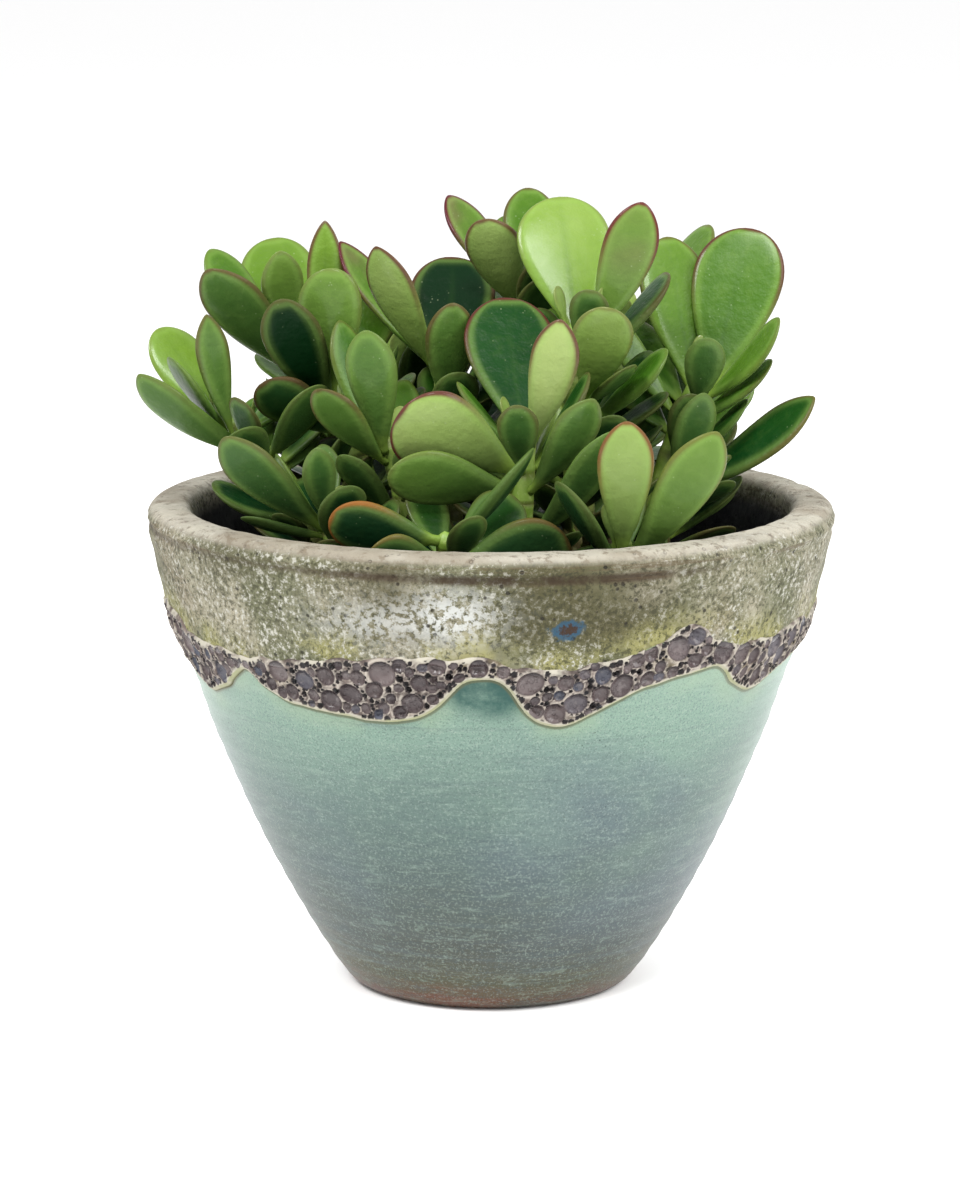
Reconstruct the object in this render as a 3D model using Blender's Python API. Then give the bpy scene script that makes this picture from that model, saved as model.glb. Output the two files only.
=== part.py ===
"""Potted jade plant: a glazed stoneware pot of soil, planted with leafy jade stems.

Every length in the tables below is in millimetres and every angle in degrees. The pot's
axis is the Z axis, its foot stands on Z = 0, and a heading of 0 points along +X.
"""
import math

import bmesh
import bpy
import numpy as np

MM = 0.001
GAP = 0.3                      # clear space kept between two pieces that touch

# ---- pot -------------------------------------------------------------------------------
POT_HEIGHT = 146.0
RIM_RADIUS = 102.5
MOUTH_RADIUS = 89.5
FLOOR = 12.0                   # thickness of the pot's floor
AROUND = 56                    # facets round the pot
# radius and height up the outer wall, from the foot to under the rolled rim
OUTER_WALL = (
    (40.5, 0.0), (43.0, 1.5), (48.0, 8.0), (54.0, 17.5), (61.0, 30.0), (67.5, 42.5),
    (73.3, 55.0), (78.4, 67.0), (83.6, 79.5), (89.8, 98.0), (92.4, 104.0), (95.6, 110.5),
    (97.2, 118.0), (99.3, 128.0), (101.8, 138.5),
)
RIM_ROLL = ((RIM_RADIUS, 141.0), (102.0, 144.5), (99.5, POT_HEIGHT))
INNER_WALL = (
    (MOUTH_RADIUS + 2.0, POT_HEIGHT), (MOUTH_RADIUS, 144.0), (87.0, 128.0), (84.0, 114.0),
    (75.0, 88.0), (64.0, 62.0), (52.0, 38.0), (38.0, FLOOR + 2.0), (34.0, FLOOR),
)

# ---- soil ------------------------------------------------------------------------------
SOIL_EDGE = 120.0              # height of the soil where it meets the wall
SOIL_CROWN = 122.0             # height of its middle
SOCKET_DEPTH = 12.0            # how far a stem goes down into the soil

# ---- stems: foot (x, y), tip (x, y, z), radius at the foot and at the tip -----------------
STEM_SIDES = 8
STEM_RINGS = 7
STEMS = {
    "far_left": ((-50, -12), (-76, -8, 170), 4.0, 2.8),
    "left_back": ((-38, 20), (-60, 14, 192), 4.4, 3.0),
    "left": ((-34, -4), (-48, -4, 182), 4.4, 3.0),
    "middle_left": ((-22, -30), (-30, -32, 168), 4.0, 2.8),
    "low_left": ((-44, -42), (-47, -42, 148), 3.4, 2.6),
    "front": ((-12, -60), (-13, -66, 146), 3.4, 2.6),
    "middle": ((-12, -2), (-14, 0, 188), 4.4, 3.0),
    "back": ((6, 34), (13, 28, 206), 4.6, 3.0),
    "centre": ((26, -14), (26, -16, 201), 5.2, 3.6),
    "front_centre": ((8, -42), (10, -42, 173), 4.2, 3.2),
    "front_right": ((38, -58), (37, -66, 145), 3.4, 2.8),
    "right": ((48, -8), (63, -5, 183), 4.8, 3.4),
    "back_left": ((-24, 52), (-30, 60, 178), 4.2, 2.8),
    "back_right": ((36, 42), (42, 52, 190), 4.4, 3.0),
}

# ---- leaves: share up the stem, heading, rise, length, width, roll about the midrib, bend -
# A positive bend curls the tip upward; a positive roll lifts the margin left of the heading.
LEAVES = {
    "far_left": (
        (0.84, 207, 36, 42, 15, 30, 26), (0.99, 150, 50, 35, 17, -35, 10),
        (0.97, 238, 72, 37, 10, 55, 12), (0.76, 252, 26, 29, 15, 40, 8),
    ),
    "left_back": (
        (0.94, 108, 52, 40, 23, -15, 10), (0.87, 222, 44, 47, 18, 40, 12),
        (0.98, 262, 62, 34, 13, 25, 14),
    ),
    "left": (
        (0.90, 235, 55, 40, 18, 30, 14), (0.76, 215, 32, 30, 17, 45, 10),
        (0.99, 95, 74, 48, 11, 0, 8), (0.98, 275, 76, 37, 19, -10, 8),
    ),
    "middle_left": (
        (0.90, 216, 45, 31, 14, 30, 12), (0.95, 142, 68, 39, 14, -10, 8),
        (0.99, 250, 70, 37, 15, 10, 8),
    ),
    "low_left": (
        (0.92, 212, 42, 41, 16, 40, 10), (0.98, 262, 58, 27, 10, 20, 10),
    ),
    "front": (
        (0.95, 190, 14, 30, 17, 65, 6), (0.62, 350, 12, 32, 24, -65, 4),
        (0.72, 216, 8, 24, 16, 60, 6),
    ),
    "middle": (
        (0.98, 220, 60, 42, 15, 20, 12), (0.95, 86, 47, 41, 26, 0, 12),
        (0.80, 276, 66, 35, 15, 10, 10),
    ),
    "back": (
        (0.96, 155, 52, 38, 15, -20, 10), (0.93, 236, 52, 36, 17, 30, 10),
        (0.99, 92, 52, 36, 17, 0, 12),
    ),
    "centre": (
        (0.97, 102, 60, 42, 28, -5, 8), (0.96, 342, 70, 41, 16, -70, 8),
        (0.74, 292, 60, 31, 18, -20, 14),
    ),
    "front_centre": (
        (0.97, 100, 55, 44, 27, 0, 8), (0.96, 300, 67, 39, 14, -40, 12),
        (0.80, 204, 27, 38, 26, 65, 6), (0.68, 320, 52, 35, 13, -40, 18),
    ),
    "front_right": (
        (0.94, 272, 70, 40, 16, 0, 8), (0.76, 322, 54, 48, 17, -40, 12),
    ),
    "right": (
        (0.98, 52, 64, 48, 27, 30, 8), (0.95, 110, 64, 47, 21, -10, 8),
        (0.92, 326, 46, 34, 14, 45, 24), (0.48, 300, 62, 34, 13, -10, 10),
        (0.68, 40, 40, 30, 14, 30, 14), (0.46, 342, 36, 50, 16, 45, 18),
    ),
    "back_left": (
        (0.97, 130, 52, 40, 20, 0, 12), (0.92, 20, 50, 38, 18, 0, 12),
    ),
    "back_right": (
        (0.97, 30, 52, 42, 20, 0, 12), (0.92, 118, 48, 40, 18, 0, 12),
    ),
}
# half width at seven stations from stalk to tip, as shares of the length and of the half width
LEAF_STATIONS = (
    (0.03, 0.22), (0.14, 0.36), (0.30, 0.68), (0.48, 0.92), (0.68, 1.00), (0.86, 0.80),
    (0.96, 0.44),
)
LEAF_THICK = 0.20              # thickness as a share of the width, at the widest station
LEAF_STALK_THICK = 2.2         # thickness of the stalk end
LEAF_UPPER = 0.35              # share of the thickness that lies above the margins
LEAF_SHOULDER = 0.55           # how far out the two faces' ridges lie


def material(name, colour, roughness):
    """A plain Principled material."""
    made = bpy.data.materials.new(name)
    made.use_nodes = True
    shader = made.node_tree.nodes["Principled BSDF"]
    shader.inputs["Base Color"].default_value = (*colour, 1.0)
    shader.inputs["Roughness"].default_value = roughness
    shader.inputs["Metallic"].default_value = 0.0
    return made


def add_object(name, mesh_builder, made):
    """Turns a bmesh in millimetres into a named object in metres."""
    bmesh.ops.recalc_face_normals(mesh_builder, faces=mesh_builder.faces)
    bmesh.ops.scale(mesh_builder, vec=(MM, MM, MM), verts=mesh_builder.verts)
    mesh = bpy.data.meshes.new(name)
    mesh_builder.to_mesh(mesh)
    mesh_builder.free()
    mesh.materials.append(made)
    mesh.shade_smooth()
    thing = bpy.data.objects.new(name, mesh)
    bpy.context.scene.collection.objects.link(thing)
    return thing


def rings_to_mesh(rings, start, end):
    """A closed skin over equal rings of points, ending in a point at each end."""
    build = bmesh.new()
    loops = [[build.verts.new(tuple(map(float, p))) for p in ring] for ring in rings]
    for low, high in zip(loops, loops[1:]):
        for i in range(len(low)):
            j = (i + 1) % len(low)
            build.faces.new((low[i], low[j], high[j], high[i]))
    for loop, point in ((loops[0], start), (loops[-1], end)):
        pole = build.verts.new(tuple(map(float, point)))
        for i in range(len(loop)):
            build.faces.new((loop[i], loop[(i + 1) % len(loop)], pole))
    return build


def turned(profile, top=None):
    """A profile of (radius, height) points turned round Z, with flat ends or a raised top point."""
    build = bmesh.new()
    turn = [2 * math.pi * i / AROUND for i in range(AROUND)]
    loops = [
        [build.verts.new((r * math.cos(a), r * math.sin(a), z)) for a in turn] for r, z in profile
    ]
    for low, high in zip(loops, loops[1:]):
        for i in range(AROUND):
            j = (i + 1) % AROUND
            build.faces.new((low[i], low[j], high[j], high[i]))
    build.faces.new(loops[0])
    if top is None:
        build.faces.new(loops[-1])
    else:
        pole = build.verts.new((0.0, 0.0, top))
        for i in range(AROUND):
            build.faces.new((loops[-1][i], loops[-1][(i + 1) % AROUND], pole))
    return build


def make_pot():
    """The pot: outer wall, rolled rim, inner wall and floor, turned as one piece."""
    glaze = material("pot_glaze", (0.30, 0.42, 0.38), 0.4)
    return add_object("pot", turned(OUTER_WALL + RIM_ROLL + INNER_WALL), glaze)


def soil_profile():
    """The pot's inner wall, moved in by the gap, up to the edge of the soil."""
    wall = sorted((z, r) for r, z in INNER_WALL)
    heights = [z for z, _ in wall]
    radii = [r for _, r in wall]
    inside = [(r - GAP - 0.2, z) for z, r in wall if FLOOR < z < SOIL_EDGE]
    edge = float(np.interp(SOIL_EDGE, heights, radii)) - GAP - 0.2
    floor_radius = radii[0] - GAP - 0.2
    middle = SOIL_EDGE + 0.6 * (SOIL_CROWN - SOIL_EDGE)
    return [(floor_radius, FLOOR + GAP)] + inside + [(edge, SOIL_EDGE), (edge * 0.6, middle)]


def make_soil(stem_feet):
    """The soil: it fills the pot and has a socket for each stem."""
    earth = material("soil", (0.03, 0.024, 0.02), 0.95)
    soil = add_object("soil", turned(soil_profile(), SOIL_CROWN), earth)
    holes = bmesh.new()
    for x, y, radius in stem_feet:
        bottom = SOIL_CROWN - SOCKET_DEPTH - GAP
        loops = []
        for z in (bottom, SOIL_CROWN + 5.0):
            loops.append([
                holes.verts.new((x + (radius + 0.8) * math.cos(a), y + (radius + 0.8) * math.sin(a), z))
                for a in [2 * math.pi * i / STEM_SIDES for i in range(STEM_SIDES)]
            ])
        for i in range(STEM_SIDES):
            j = (i + 1) % STEM_SIDES
            holes.faces.new((loops[0][i], loops[0][j], loops[1][j], loops[1][i]))
        for loop in loops:
            holes.faces.new(loop)
    cutter = add_object("sockets", holes, earth)
    cutter.hide_render = True
    cutter.display_type = "WIRE"
    cut = soil.modifiers.new("sockets", "BOOLEAN")
    cut.operation = "DIFFERENCE"
    cut.object = cutter
    return soil


def stem_point(foot, tip, share):
    """A point on a stem's axis and its direction: it leaves the soil upright, then leans to its tip."""
    low = np.array([foot[0], foot[1], SOIL_CROWN], float)
    high = np.array(tip, float)
    bend = np.array([foot[0], foot[1], 0.5 * (SOIL_CROWN + tip[2])], float)
    point = (1 - share) ** 2 * low + 2 * share * (1 - share) * bend + share ** 2 * high
    along = 2 * (1 - share) * (bend - low) + 2 * share * (high - bend)
    return point, along / np.linalg.norm(along)


def make_stem(name, foot, tip, foot_radius, tip_radius, made):
    """A round stem that stands in its socket and tapers to a blunt tip."""
    rings = []
    axis = [(np.array([foot[0], foot[1], SOIL_CROWN - SOCKET_DEPTH + 0.5]), np.array([0, 0, 1.0]), 0.0)]
    for i in range(STEM_RINGS):
        share = i / (STEM_RINGS - 1)
        axis.append((*stem_point(foot, tip, share), share))
    for point, along, share in axis:
        across = np.cross(np.array([0.0, 1.0, 0.0]), along)
        across /= np.linalg.norm(across)
        other = np.cross(along, across)
        radius = foot_radius + (tip_radius - foot_radius) * share
        turn = [2 * math.pi * k / STEM_SIDES for k in range(STEM_SIDES)]
        rings.append([point + radius * (math.cos(a) * across + math.sin(a) * other) for a in turn])
    start = axis[0][0] - (0, 0, 0.5)
    end = axis[-1][0] + axis[-1][1] * tip_radius * 0.6
    return add_object(name, rings_to_mesh(rings, start, end), made)


def leaf_rings(foot, tip, radii, leaf):
    """The rings of a leaf: six points each, from the stalk beside the stem to near the tip."""
    share, heading, rise, length, width, roll, bend = leaf
    start, along = stem_point(foot, tip, share)
    heading = math.radians(heading)
    outward = np.array([math.cos(heading), math.sin(heading), 0.0])
    left = np.array([-math.sin(heading), math.cos(heading), 0.0])
    up = np.array([0.0, 0.0, 1.0])
    stem_radius = radii[0] + (radii[1] - radii[0]) * share
    point = start + outward * (stem_radius + GAP + 0.5 * LEAF_STALK_THICK)
    tilt = math.radians(roll)
    rings = []
    before = 0.0
    midrib = [point]
    for at, half in LEAF_STATIONS + ((1.0, 0.0),):
        angle = math.radians(rise + bend * (0.5 * (before + at) - 0.5))
        point = point + (at - before) * length * (math.cos(angle) * outward + math.sin(angle) * up)
        before = at
        midrib.append(point)
        if not half:
            break
        face = math.cos(angle) * up - math.sin(angle) * outward
        side = math.cos(tilt) * left + math.sin(tilt) * face
        normal = math.cos(tilt) * face - math.sin(tilt) * left
        reach = 0.5 * width * half
        thick = min(1.0, at / 0.5) * LEAF_THICK * width * min(1.0, 1.3 * half)
        thick = max(LEAF_STALK_THICK * (1.0 - at), thick)
        above, below = LEAF_UPPER * thick, (LEAF_UPPER - 1.0) * thick
        ridge = LEAF_SHOULDER * reach
        rings.append([
            point + side * a + normal * b
            for a, b in (
                (reach, 0.0), (ridge, above), (-ridge, above), (-reach, 0.0), (-ridge, below),
                (ridge, below),
            )
        ])
    return rings, midrib[0], midrib[-1]


def build_all():
    """Builds the pot, the soil, then every stem with its leaves."""
    make_pot()
    make_soil([(*foot, foot_radius) for foot, _, foot_radius, _ in STEMS.values()])
    for shoot, (foot, tip, foot_radius, tip_radius) in STEMS.items():
        bark = material(f"stem_{shoot}", (0.20, 0.32, 0.07), 0.5)
        make_stem(f"stem_{shoot}", foot, tip, foot_radius, tip_radius, bark)
        for number, leaf in enumerate(LEAVES[shoot], 1):
            skin = material(f"leaf_{shoot}_{number}", (0.10, 0.26, 0.05), 0.35)
            rings, base, end = leaf_rings(foot, tip, (foot_radius, tip_radius), leaf)
            add_object(f"leaf_{shoot}_{number}", rings_to_mesh(rings, base, end), skin)


for old in list(bpy.data.objects):
    bpy.data.objects.remove(old, do_unlink=True)
build_all()
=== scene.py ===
"""Looks of the potted jade plant: its glazed pot, soil, stems and leaves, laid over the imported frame."""

import math

import bmesh
import bpy
import numpy as np
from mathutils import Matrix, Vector, kdtree


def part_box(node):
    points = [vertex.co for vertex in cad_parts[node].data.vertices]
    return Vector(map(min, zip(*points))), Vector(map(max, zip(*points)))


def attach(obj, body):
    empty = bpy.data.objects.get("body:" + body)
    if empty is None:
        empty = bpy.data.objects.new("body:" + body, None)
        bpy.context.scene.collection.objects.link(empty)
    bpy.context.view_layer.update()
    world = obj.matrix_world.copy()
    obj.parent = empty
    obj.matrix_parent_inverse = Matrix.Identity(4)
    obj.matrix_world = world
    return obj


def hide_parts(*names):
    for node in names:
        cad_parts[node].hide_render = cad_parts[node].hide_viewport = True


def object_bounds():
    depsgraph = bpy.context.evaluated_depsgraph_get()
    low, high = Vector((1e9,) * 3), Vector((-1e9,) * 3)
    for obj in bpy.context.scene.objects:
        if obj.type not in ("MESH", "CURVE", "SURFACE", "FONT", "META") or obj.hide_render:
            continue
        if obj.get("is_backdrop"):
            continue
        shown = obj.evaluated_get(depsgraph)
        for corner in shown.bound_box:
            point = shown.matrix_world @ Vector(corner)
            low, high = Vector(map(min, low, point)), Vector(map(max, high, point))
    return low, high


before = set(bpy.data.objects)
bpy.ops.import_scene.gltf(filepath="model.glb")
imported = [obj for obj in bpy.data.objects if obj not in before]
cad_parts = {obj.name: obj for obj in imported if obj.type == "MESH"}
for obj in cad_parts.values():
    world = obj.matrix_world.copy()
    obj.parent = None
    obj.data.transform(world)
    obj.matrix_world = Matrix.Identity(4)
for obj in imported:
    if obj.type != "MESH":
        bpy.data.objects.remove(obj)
cad_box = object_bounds()


# ==== Pot body ===========================================================================
# The pot is one thrown stoneware vessel. Its lower wall wears a satin celadon glaze that
# pools in places, and its upper wall and rim a dry, speckled, lichen-like crust.

MM = 0.001


class Wire:
    """A socket of a shader tree that can be used in sums like a number."""

    def __init__(self, recipe, socket):
        self.recipe = recipe
        self.socket = socket

    def _join(self, operation, left, right):
        return self.recipe.node("ShaderNodeMath", {"operation": operation}, {0: left, 1: right})["Value"]

    def __add__(self, other):
        return self._join("ADD", self, other)

    def __radd__(self, other):
        return self._join("ADD", other, self)

    def __sub__(self, other):
        return self._join("SUBTRACT", self, other)

    def __rsub__(self, other):
        return self._join("SUBTRACT", other, self)

    def __mul__(self, other):
        return self._join("MULTIPLY", self, other)

    def __rmul__(self, other):
        return self._join("MULTIPLY", other, self)

    def step(self, low, high):
        """0 below low, 1 above high, and a soft ramp between; high may be the lower one."""
        ramp = {"From Min": min(low, high), "From Max": max(low, high), "Value": self}
        risen = self.recipe.node("ShaderNodeMapRange", {"interpolation_type": "SMOOTHSTEP"}, ramp)["Result"]
        return risen if high > low else 1.0 - risen


class Outputs:
    """The outputs of one node, by name."""

    def __init__(self, recipe, node):
        self.recipe = recipe
        self.node = node

    def __getitem__(self, name):
        return Wire(self.recipe, self.node.outputs[name])


class Recipe:
    """A material and the few calls that build its nodes."""

    def __init__(self, name, **fixed):
        self.material = bpy.data.materials.new(name)
        self.material.use_nodes = True
        self.tree = self.material.node_tree
        self.shader = self.tree.nodes["Principled BSDF"]
        for socket, value in fixed.items():
            self.shader.inputs[socket.replace("_", " ")].default_value = value

    def node(self, kind, settings, sockets):
        """Any node: its settings, a ramp's stops among them, then its sockets' values or links."""
        made = self.tree.nodes.new(kind)
        for name, value in settings.items():
            if name == "stops":
                ramp = made.color_ramp
                while len(ramp.elements) < len(value):
                    ramp.elements.new(0.5)
                for element, (place, colour) in zip(ramp.elements, value):
                    element.position = place
                    element.color = (*colour, 1.0)
            else:
                setattr(made, name, value)
        for name, value in sockets.items():
            if isinstance(value, Wire):
                self.tree.links.new(value.socket, made.inputs[name])
            elif isinstance(value, tuple) and len(value) == 3 and made.inputs[name].type == "RGBA":
                made.inputs[name].default_value = (*value, 1.0)
            else:
                made.inputs[name].default_value = value
        return Outputs(self, made)

    def mix(self, factor, first, second):
        """The first colour, and the second laid over it as thickly as the factor says."""
        made = self.tree.nodes.new("ShaderNodeMix")
        made.data_type = "RGBA"
        made.clamp_factor = True
        for place, value in ((0, factor), (6, first), (7, second)):
            if isinstance(value, Wire):
                self.tree.links.new(value.socket, made.inputs[place])
            else:
                made.inputs[place].default_value = (*value, 1.0) if place else value
        return Wire(self, made.outputs[2])

    def layers(self, colour, *coats):
        """A colour under thin coats of paint, each as (how thickly it covers, red, green, blue)."""
        for cover, *tint in coats:
            colour = self.mix(cover, colour, paint(*tint))
        return colour

    def place(self):
        return self.node("ShaderNodeTexCoord", {}, {})["Object"]

    def attribute(self, name):
        return self.node("ShaderNodeAttribute", {"attribute_name": name}, {})["Fac"]

    def noise(self, scale, detail=3.0, roughness=0.55, stretch=None):
        at = self.place()
        if stretch:
            at = self.node("ShaderNodeMapping", {}, {"Vector": at, "Scale": stretch})["Vector"]
        sockets = {"Vector": at, "Scale": scale, "Detail": detail, "Roughness": roughness}
        return self.node("ShaderNodeTexNoise", {}, sockets)["Fac"]

    def cells(self, scale):
        return self.node("ShaderNodeTexVoronoi", {}, {"Vector": self.place(), "Scale": scale})["Distance"]

    def finish(self, colour, roughness, height=None, depth=0.0005, strength=1.0, gloss=None):
        self.tree.links.new(colour.socket, self.shader.inputs["Base Color"])
        self.tree.links.new(roughness.socket, self.shader.inputs["Roughness"])
        if gloss is not None:
            self.tree.links.new(gloss.socket, self.shader.inputs["Coat Weight"])
        if height is not None:
            sockets = {"Height": height, "Distance": depth, "Strength": strength}
            bump = self.node("ShaderNodeBump", {}, sockets)
            self.tree.links.new(bump["Normal"].socket, self.shader.inputs["Normal"])
        return self.material


def paint(red, green, blue):
    """A colour as the eye reads it under the studio light, 0 to 255, as the values a shader takes."""
    light_gain = 1.8
    return tuple(((v / 255 + 0.055) / 1.055) ** 2.4 / light_gain for v in (red, green, blue))


def make_piece(name, points, faces, material, attributes=None):
    """A smooth mesh piece in metres, with its own named values at each point."""
    mesh = bpy.data.meshes.new(name)
    mesh.from_pydata([tuple(p) for p in np.asarray(points, float)], [], [tuple(map(int, f)) for f in faces])
    for key, values in (attributes or {}).items():
        layer = mesh.attributes.new(key, "FLOAT", "POINT")
        layer.data.foreach_set("value", np.asarray(values, np.float32))
    mesh.materials.append(material)
    mesh.shade_smooth()
    mesh.validate()
    piece = bpy.data.objects.new(name, mesh)
    bpy.context.scene.collection.objects.link(piece)
    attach(piece, "root")
    return piece


def merged_copy(node):
    """A CAD node's points and the neighbours of each, from a copy whose doubled corners are merged."""
    build = bmesh.new()
    build.from_mesh(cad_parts[node].data)
    bmesh.ops.remove_doubles(build, verts=build.verts, dist=1e-6)
    build.verts.ensure_lookup_table()
    points = np.array([v.co[:] for v in build.verts])
    near = [[e.other_vert(v).index for e in v.link_edges] for v in build.verts]
    build.free()
    return points, near


def walk_profile():
    """The pot's profile as (radius, height), read up the outer wall, over the rim and down inside."""
    points, near = merged_copy("pot")
    on_line = {i for i, p in enumerate(points) if abs(p[1]) < 1e-6 and p[0] > 0}
    current = min(on_line, key=lambda i: (points[i][2], points[i][0]))
    path = [current]
    while True:
        ahead = [i for i in near[current] if i in on_line and i not in path]
        if not ahead:
            break
        current = min(ahead, key=lambda i: abs(points[i] - points[current]).sum())
        path.append(current)
    return points[path][:, [0, 2]]


def softened(line, spacing, spread):
    """A polyline resampled at even spacing, with its corners rounded over about spread."""
    lengths = np.concatenate([[0], np.cumsum(np.linalg.norm(np.diff(line, axis=0), axis=1))])
    fine = np.arange(0, lengths[-1], spacing)
    dense = np.stack([np.interp(fine, lengths, line[:, i]) for i in range(2)], axis=1)
    half = max(1, int(spread / spacing))
    kernel = np.hanning(2 * half + 3)
    padded = np.concatenate([
        2 * dense[0] - dense[half + 1:0:-1], dense, 2 * dense[-1] - dense[-2:-half - 3:-1],
    ])
    return np.stack([np.convolve(padded[:, i], kernel / kernel.sum(), "valid") for i in range(2)], axis=1)


profile = walk_profile()
rim_top = float(profile[:, 1].max())
rim_index = int(np.argmax(profile[:, 0]))
outer_wall = softened(profile[:rim_index + 4], 0.5 * MM, 4 * MM)
outer_wall = outer_wall[np.concatenate([[True], np.diff(outer_wall[:, 1]) > 0])]


def wall_radius(height):
    """The radius of the outer wall at a height."""
    return np.interp(height, outer_wall[:, 1], outer_wall[:, 0])


# The lava glaze between the two coats runs round the pot in drips. Each line is given as
# (turn in degrees, height in mm): 0 faces the front and the turn goes to the viewer's right.
drip_line = [
    (-76, 101), (-72, 98), (-65, 95), (-57, 99), (-51, 105), (-48, 107.8), (-45.5, 102),
    (-40, 98.5), (-31, 97), (-24, 96), (-18, 95.8), (-14, 97.0), (-10, 99.8), (-7.4, 104.4),
    (-5.5, 108.6), (-3.4, 110.3), (0.7, 110.1), (3.2, 107.6), (4.8, 102.0), (6.5, 98.2),
    (9, 96.0), (12, 94.8), (16, 96), (20, 99.5), (27, 105), (33, 107), (38, 108.2), (42, 109.6),
    (45, 107.2), (48, 102.6), (54, 98.2), (59, 99), (63, 101.5), (70, 104), (76, 106.5),
    (84, 105), (92, 99), (101, 96), (112, 94), (121, 100), (128, 107.5), (136, 106), (146, 97),
    (158, 95), (168, 101), (177, 107.5), (184, 108.5), (190, 103), (200, 97), (214, 95.5),
    (226, 99), (234, 106), (240, 109), (246, 104), (256, 97), (268, 95), (276, 99),
]
crust_line = [
    (-76, 117), (-70, 115.6), (-62, 110.8), (-54, 111.4), (-49, 111), (-46.8, 109.2),
    (-43, 110.8), (-34, 112.4), (-28, 113.2), (-22, 115), (-15, 115.6), (-8.5, 115.4),
    (-2, 117), (1.5, 113.8), (8, 112.6), (15, 112.8), (22, 114.8), (27, 117.5), (31, 120.3),
    (35, 122.8), (38, 121.8), (41, 117.2), (47, 114.2), (53, 114), (60, 114.6), (68, 116),
    (76, 114.6), (86, 117), (96, 114), (108, 112), (120, 114.5), (128, 119), (136, 116),
    (150, 112), (165, 114), (178, 117.5), (190, 113), (205, 112), (220, 115), (232, 121),
    (242, 118), (252, 112.5), (265, 113), (276, 118),
]


def line_height(line, turn):
    """The height in metres of a drip line at a turn, rounded between its given points."""
    turns = np.array([t for t, _ in line], float)
    heights = np.array([h for _, h in line], float) * MM
    fine = np.arange(-180, 180, 0.25)
    values = np.interp(fine, turns, heights, period=360)
    ragged = 0.45 * MM if line is crust_line else 0.12 * MM
    for waves, shift in ((23, 0.4), (41, 1.9), (67, 0.8), (101, 2.6)):
        values = values + ragged * np.sin(np.radians(fine) * waves + shift)
    half = 11
    kernel = np.hanning(2 * half + 1)
    values = np.concatenate([values[-half:], values, values[:half]])
    values = np.convolve(values, kernel / kernel.sum(), "valid")
    return np.interp((np.asarray(turn) + 180) % 360 - 180, fine, values, period=360)


def line_tree(line):
    """A search tree over a drip line laid out flat: arc length across, height up."""
    girth = float(wall_radius(0.105))
    turns = np.arange(-190, 190, 0.12)
    tree = kdtree.KDTree(len(turns))
    for i, (turn, height) in enumerate(zip(turns, line_height(line, turns))):
        tree.insert((math.radians(turn) * girth, height, 0), i)
    tree.balance()
    return tree, girth


def signed_distance(line, tree_girth, turn, height):
    """How far each point lies above a drip line, along the wall; negative below it."""
    tree, girth = tree_girth
    turn = (np.asarray(turn) + 180) % 360 - 180
    away = np.array([
        tree.find((math.radians(t) * girth, h, 0))[2] for t, h in zip(turn.ravel(), height.ravel())
    ]).reshape(turn.shape)
    return np.where(height > line_height(line, turn), away, -away)


def soft(value, low, high):
    """The same soft ramp as in the shaders, for meshes."""
    share = np.clip((value - low) / (high - low), 0, 1)
    return share * share * (3 - 2 * share)


def hill(value, centre, spread):
    """1 at the centre, falling softly to nothing two or three spreads away."""
    return np.exp(-((value - centre) / spread) ** 2)


drip_tree = line_tree(drip_line)
crust_tree = line_tree(crust_line)

# The wall's rows: close together round the rim, wide apart in the part that the soil fills.
pot_columns = 336
outline = softened(profile, 0.5 * MM, 2.5 * MM)
outline[:, 1] = np.maximum(outline[:, 1], 0.0)
step_sizes = np.full(len(outline), 3)
step_sizes[outline[:, 1] > rim_top - 12 * MM] = 2
past_rim = np.arange(len(outline)) > int(np.argmax(outline[:, 0]))
step_sizes[past_rim & (outline[:, 1] < 0.110)] = 14
rows = [0]
while rows[-1] + step_sizes[rows[-1]] < len(outline) - 1:
    rows.append(rows[-1] + step_sizes[rows[-1]])
rows.append(len(outline) - 1)
outline = outline[rows]
is_outer = np.arange(len(outline)) <= int(np.argmax(outline[:, 0]))
turn_step = 2 * math.pi / pot_columns
angles = np.arange(pot_columns) * turn_step
grid_turn = np.degrees(angles)[None, :].repeat(len(outline), 0)
grid_height = outline[:, 1][:, None].repeat(pot_columns, 1)
grid_radius = outline[:, 0][:, None].repeat(pot_columns, 1)

# How far each point stands above the two lines; far_away serves where the lines aren't near.
far_away = 0.03
near_lava = (grid_height > 0.085) & (grid_height < 0.130) & is_outer[:, None]
near_spots = grid_turn[near_lava], grid_height[near_lava]
above_drip = np.where(grid_height > 0.108, far_away, -far_away)
above_crust = above_drip.copy()
above_drip[near_lava] = signed_distance(drip_line, drip_tree, *near_spots)
above_crust[near_lava] = signed_distance(crust_line, crust_tree, *near_spots)
above_drip[~is_outer] = far_away
above_crust[~is_outer] = far_away

# The potter's marks: throwing rings, a slight wobble, the crust's lumps and a groove under the lip.
radians = np.radians(grid_turn)
throwing = 0.10 * MM * np.sin(grid_height * 2 * math.pi / (6.2 * MM) + 1.5 * np.sin(radians * 2))
wobble = 0.35 * MM * np.sin(2 * radians + 0.7) + 0.2 * MM * np.sin(5 * radians + grid_height * 40)
lumps = 0.22 * MM * np.sin(19 * radians + 260 * grid_height) * np.sin(13 * radians - 310 * grid_height)
lumps += 0.16 * MM * np.sin(37 * radians + 90 * grid_height) * np.sin(430 * grid_height + 11 * radians)
crusty = soft(above_crust, -1 * MM, 1 * MM)
lip_gap = np.abs(grid_height - (rim_top - 6.4 * MM - 0.8 * MM * np.sin(radians + 0.4)))
lip_groove = np.clip(1 - lip_gap / (2.2 * MM), 0, 1) * (0.7 + 0.3 * np.sin(3 * radians + 1.1))


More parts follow.
